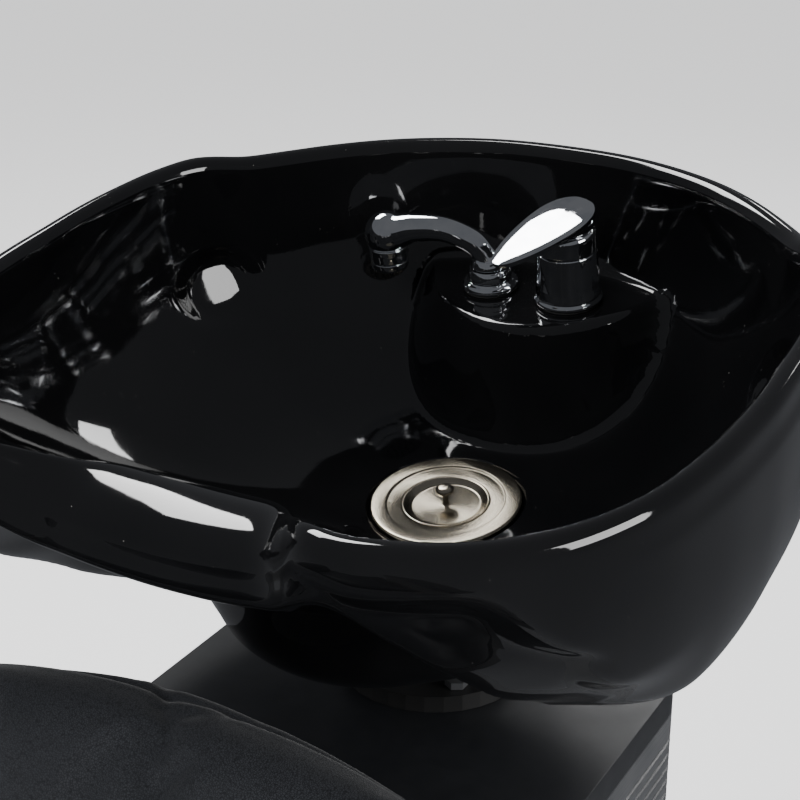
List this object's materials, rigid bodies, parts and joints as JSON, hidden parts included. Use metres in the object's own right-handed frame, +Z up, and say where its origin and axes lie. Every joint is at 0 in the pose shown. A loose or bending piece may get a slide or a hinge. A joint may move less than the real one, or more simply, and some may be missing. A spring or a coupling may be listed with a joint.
{
  "type": "shampoo backwash unit",
  "caption": "Salon wash chair with a tilting glazed basin, lever mixer and pull-out hand shower on a fluted pedestal, padded seat, back and arms.",
  "frame": {"origin": "centre of the footprint at floor level", "axes": "+X to the right of someone facing the basin from the chair side, +Y from the seat towards the basin, +Z up"},
  "size_m": [0.636, 1.1491, 0.9691],
  "materials": {
    "glaze": "deep black gloss glaze",
    "waste_steel": "turned and brushed in rings",
    "rubber": "black gasket rubber",
    "chrome": "polished chrome plate",
    "zinc": "zinc plated steel and brass",
    "black_metal": "satin black powder coat",
    "black_plastic": "moulded black plastic",
    "fluted_skin": "satin black with level flutes",
    "laminate": "matt black laminated board",
    "leather": "fine grained black upholstery",
    "plywood": "birch plywood"
  },
  "bodies": {
    "stand": {"mount_bracket": "black_metal", "mount_bolt_1": "zinc", "mount_bolt_2": "zinc", "mount_bolt_3": "zinc", "mount_bolt_4": "zinc", "pivot_pin_left": "zinc", "pivot_pin_right": "zinc", "pedestal_top": "laminate", "fluted_panel_left": "fluted_skin", "fluted_panel_right": "fluted_skin", "pedestal_front": "laminate", "pedestal_floor": "laminate", "post_left": "black_metal", "post_right": "black_metal", "door_sill": "black_metal", "door_head": "black_metal", "seat_cushion": "leather", "seat_board": "plywood", "back_cushion": "leather", "back_board": "laminate", "arm_panel_left": "leather", "arm_pad_left": "leather", "back_strut_left": "black_metal", "arm_panel_right": "leather", "arm_pad_right": "leather", "back_strut_right": "black_metal", "front_panel": "laminate", "chair_frame": "black_metal", "foot_1": "black_plastic", "foot_2": "black_plastic", "foot_3": "black_plastic", "foot_4": "black_plastic", "foot_5": "black_plastic", "foot_6": "black_plastic"},
    "basin_unit": {"basin": "glaze", "waste_gasket": "rubber", "waste_flange": "waste_steel", "waste_nut": "black_plastic", "tail_pipe": "black_plastic", "mixer_gasket": "rubber", "mixer_base": "chrome", "mixer_body": "chrome", "mixer_shank": "zinc", "mixer_nut": "zinc", "holder_gasket": "rubber", "shower_holder": "chrome", "holder_nut": "zinc", "tilt_cradle": "black_metal"},
    "strainer": {"waste_strainer": "waste_steel"},
    "mixer_top": {"mixer_cap": "chrome"},
    "lever": {"mixer_lever": "chrome"},
    "holder_top": {"holder_collar": "chrome"},
    "hand_shower": {"handset": "chrome", "spray_face": "chrome"},
    "clamp_knob": {"tilt_knob": "black_plastic"},
    "door": {"service_door": "laminate", "door_knob": "chrome"}
  },
  "joints": [
    {"name": "basin_tilt", "type": "hinge", "parent": "stand", "child": "basin_unit", "pos_m": [0, 0.3544, 0.694], "axis": [1, 0, 0], "range_deg": [-12, 4]},
    {"name": "strainer_lift", "type": "slide", "parent": "basin_unit", "child": "strainer", "axis": [0, -0.1736, 0.9848], "range_m": [0, 0.08]},
    {"name": "mixer_turn", "type": "hinge", "parent": "basin_unit", "child": "mixer_top", "pos_m": [0.031, 0.49873, 0.873], "axis": [0, -0.1736, 0.9848], "range_deg": [-30, 50]},
    {"name": "lever_lift", "type": "hinge", "parent": "mixer_top", "child": "lever", "pos_m": [0.03857, 0.50539, 0.93307], "axis": [-0.9135, 0.4006, 0.0706], "range_deg": [0, 22]},
    {"name": "holder_turn", "type": "hinge", "parent": "basin_unit", "child": "holder_top", "pos_m": [-0.031, 0.49873, 0.873], "axis": [0, -0.1736, 0.9848], "range_deg": [-4, 40]},
    {"name": "handset_pull", "type": "slide", "parent": "holder_top", "child": "hand_shower", "axis": [0, -0.1736, 0.9848], "range_m": [0, 0.14]},
    {"name": "clamp_knob_turn", "type": "hinge", "parent": "stand", "child": "clamp_knob", "pos_m": [0.067, 0.3544, 0.694], "axis": [1, 0, 0], "range_deg": [0, 120]},
    {"name": "door_swing", "type": "hinge", "parent": "stand", "child": "door", "pos_m": [-0.0795, 0.4364, 0.326], "axis": [0, 0, 1], "range_deg": [0, 100]}
  ]
}
